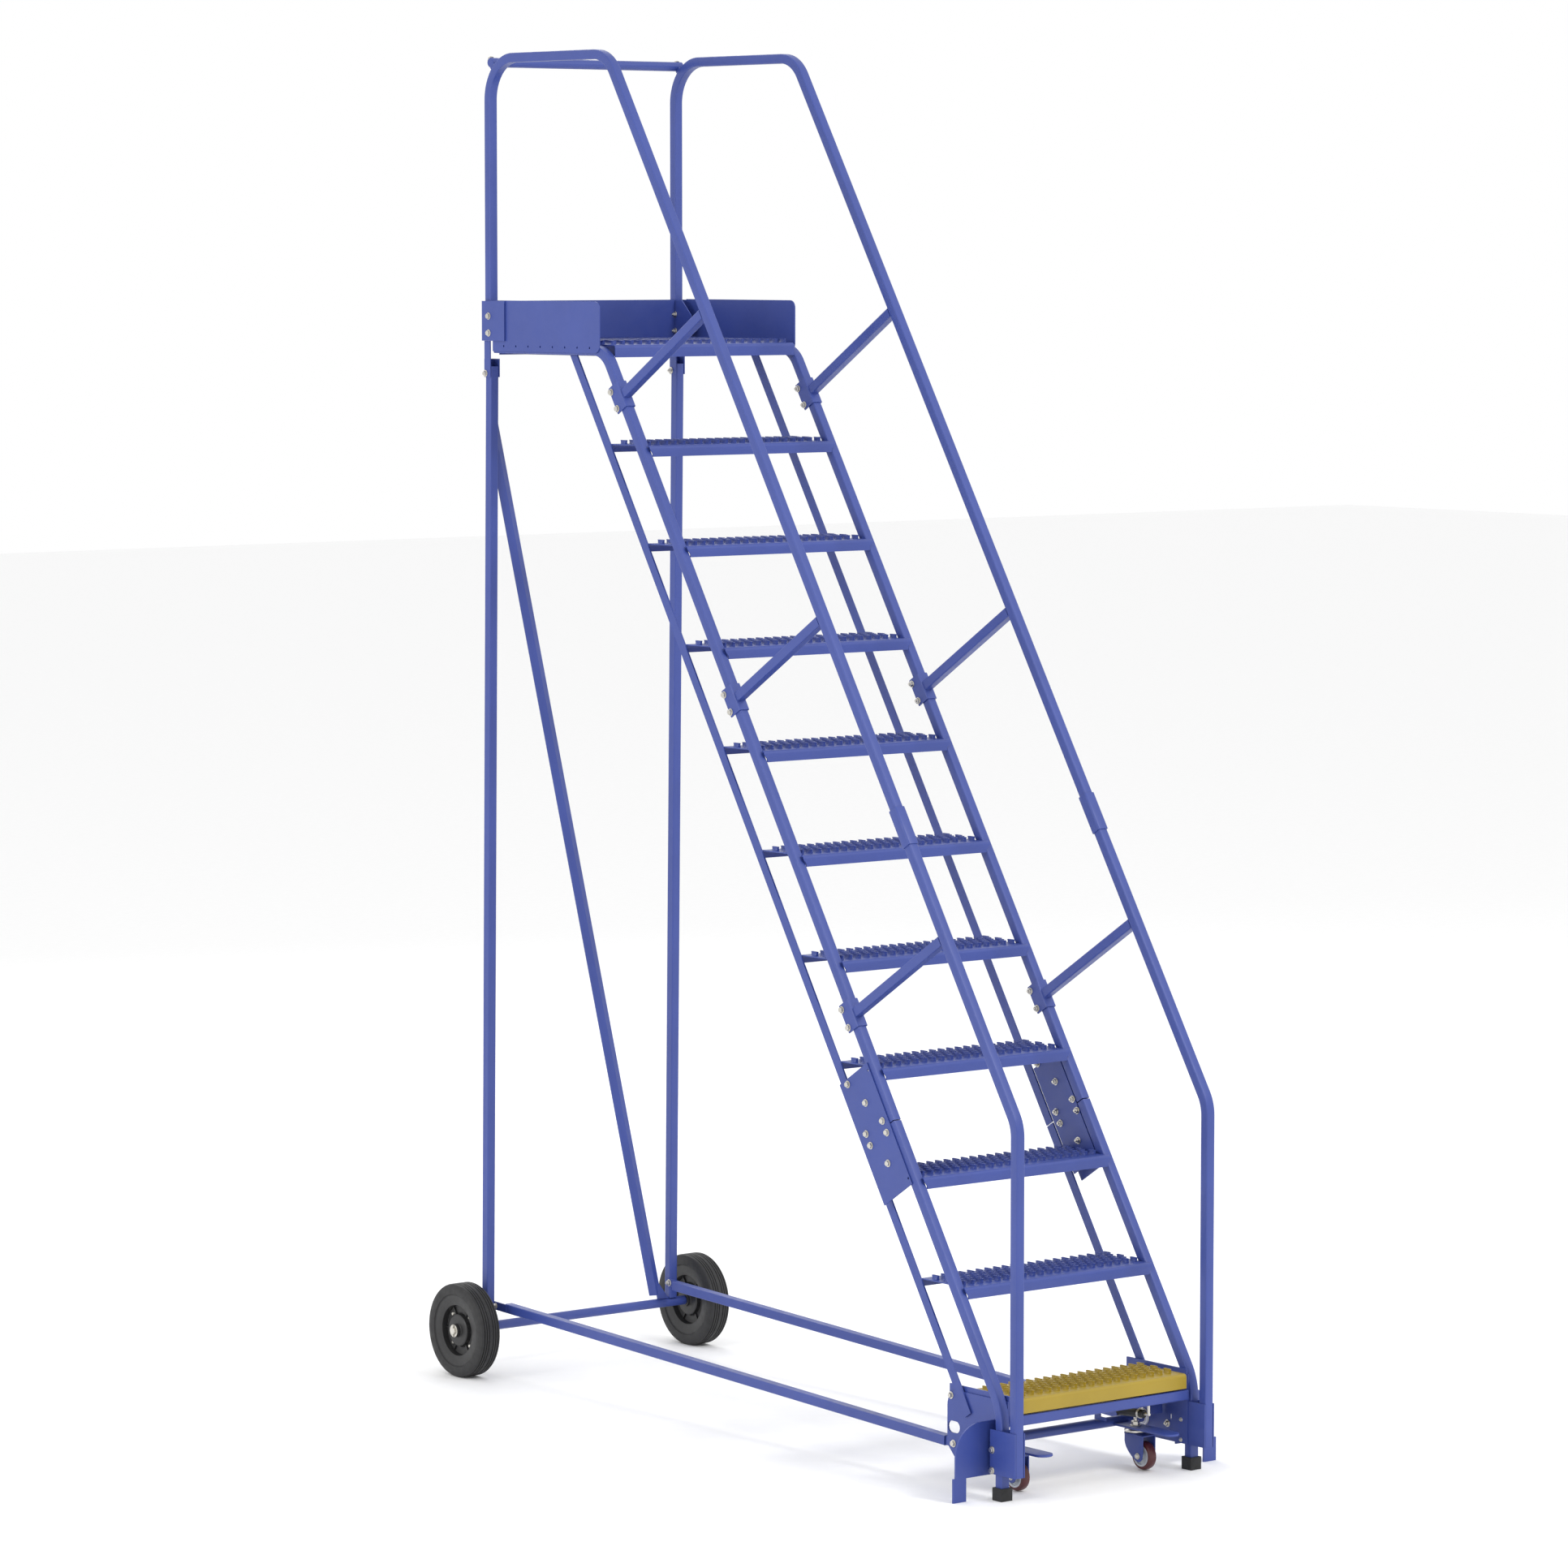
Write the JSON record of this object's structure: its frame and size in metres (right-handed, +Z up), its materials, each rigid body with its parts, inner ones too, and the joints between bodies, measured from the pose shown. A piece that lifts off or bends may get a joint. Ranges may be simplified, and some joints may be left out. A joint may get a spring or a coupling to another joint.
{
  "type": "rolling warehouse ladder",
  "caption": "Rolling warehouse ladder with grip-tread steps, guarded platform, square-tube handrails, rear wheels and a pedal lock-step with swivel casters.",
  "frame": {"origin": "on the floor below the middle of the ladder's outer box", "axes": "+X to the climber's right, +Y towards the rear wheels (climbing direction), +Z up"},
  "size_m": [0.864, 2.3474, 3.5601],
  "materials": {
    "blue_powder_coat": "satin blue powder coat with a fine orange-peel texture",
    "yellow_powder_coat": "satin yellow powder coat, for the first step",
    "foot_rubber": "matte black moulded rubber",
    "wheel_tyre": "semi-matte black solid tyre on a moulded black hub",
    "caster_tread": "satin maroon polyurethane tread on a grey hub",
    "zinc_hardware": "bright zinc-plated bolts, nuts, bearing races and spindles",
    "white_bushing": "white nylon bushing"
  },
  "bodies": {
    "frame": {"handrail_lower_left": "blue_powder_coat", "handrail_lower_right": "blue_powder_coat", "handrail_upper_left": "blue_powder_coat", "handrail_upper_right": "blue_powder_coat", "handrail_sleeve_left": "blue_powder_coat", "handrail_sleeve_right": "blue_powder_coat", "handrail_support_1_left": "blue_powder_coat", "handrail_support_1_right": "blue_powder_coat", "handrail_support_2_left": "blue_powder_coat", "handrail_support_2_right": "blue_powder_coat", "handrail_support_3_left": "blue_powder_coat", "handrail_support_3_right": "blue_powder_coat", "rear_crossbar": "blue_powder_coat", "front_stringer_lower_left": "blue_powder_coat", "front_stringer_lower_right": "blue_powder_coat", "front_stringer_upper_left": "blue_powder_coat", "front_stringer_upper_right": "blue_powder_coat", "rear_stringer_lower_left": "blue_powder_coat", "rear_stringer_lower_right": "blue_powder_coat", "rear_stringer_upper_left": "blue_powder_coat", "rear_stringer_upper_right": "blue_powder_coat", "splice_plate_left": "blue_powder_coat", "splice_plate_right": "blue_powder_coat", "rubber_foot_left": "foot_rubber", "rubber_foot_right": "foot_rubber", "step_2": "blue_powder_coat", "step_3": "blue_powder_coat", "step_4": "blue_powder_coat", "step_5": "blue_powder_coat", "step_6": "blue_powder_coat", "step_7": "blue_powder_coat", "step_8": "blue_powder_coat", "step_9": "blue_powder_coat", "step_10": "blue_powder_coat", "bottom_step": "yellow_powder_coat", "platform_deck": "blue_powder_coat", "kick_plate_left": "blue_powder_coat", "kick_plate_right": "blue_powder_coat", "kick_plate_rear": "blue_powder_coat", "post_bracket_left": "blue_powder_coat", "post_bracket_right": "blue_powder_coat", "rear_upright_left": "blue_powder_coat", "rear_upright_right": "blue_powder_coat", "upright_socket_left": "blue_powder_coat", "upright_socket_right": "blue_powder_coat", "diagonal_brace": "blue_powder_coat", "rear_axle": "blue_powder_coat", "base_rail_left": "blue_powder_coat", "base_rail_right": "blue_powder_coat", "base_side_plate_left": "blue_powder_coat", "base_side_plate_right": "blue_powder_coat", "base_cross_beam": "blue_powder_coat"},
    "lock_step": {"lock_shaft": "blue_powder_coat", "lock_plate": "blue_powder_coat"},
    "rear_wheel_body_left": {"rear_wheel_left": "wheel_tyre"},
    "caster_swivel_left": {"caster_fork_left": "blue_powder_coat"},
    "caster_roller_left": {"caster_wheel_left": "caster_tread"},
    "rear_wheel_body_right": {"rear_wheel_right": "wheel_tyre"},
    "caster_swivel_right": {"caster_fork_right": "blue_powder_coat"},
    "caster_roller_right": {"caster_wheel_right": "caster_tread"}
  },
  "joints": [
    {"name": "rear_wheel_spin_left", "type": "hinge", "parent": "frame", "child": "rear_wheel_body_left", "pos_m": [-0.391, 1.04665, 0.127], "axis": [1, 0, 0], "continuous": true},
    {"name": "rear_wheel_spin_right", "type": "hinge", "parent": "frame", "child": "rear_wheel_body_right", "pos_m": [0.391, 1.04665, 0.127], "axis": [1, 0, 0], "continuous": true},
    {"name": "lock_step_pivot", "type": "hinge", "parent": "frame", "child": "lock_step", "pos_m": [0, -0.94635, 0.11], "axis": [1, 0, 0], "range_deg": [0, 16], "stiffness_Nm_per_rad": 14, "springref_deg": -34.38},
    {"name": "caster_swivel_turn_left", "type": "hinge", "parent": "lock_step", "child": "caster_swivel_left", "pos_m": [-0.208, -1.01235, 0.092], "axis": [0, 0, 1], "continuous": true},
    {"name": "caster_wheel_spin_left", "type": "hinge", "parent": "caster_swivel_left", "child": "caster_roller_left", "pos_m": [-0.208, -1.04535, 0.0372], "axis": [1, 0, 0], "continuous": true},
    {"name": "caster_swivel_turn_right", "type": "hinge", "parent": "lock_step", "child": "caster_swivel_right", "pos_m": [0.208, -1.01235, 0.092], "axis": [0, 0, 1], "continuous": true},
    {"name": "caster_wheel_spin_right", "type": "hinge", "parent": "caster_swivel_right", "child": "caster_roller_right", "pos_m": [0.208, -1.04535, 0.0372], "axis": [1, 0, 0], "continuous": true}
  ]
}
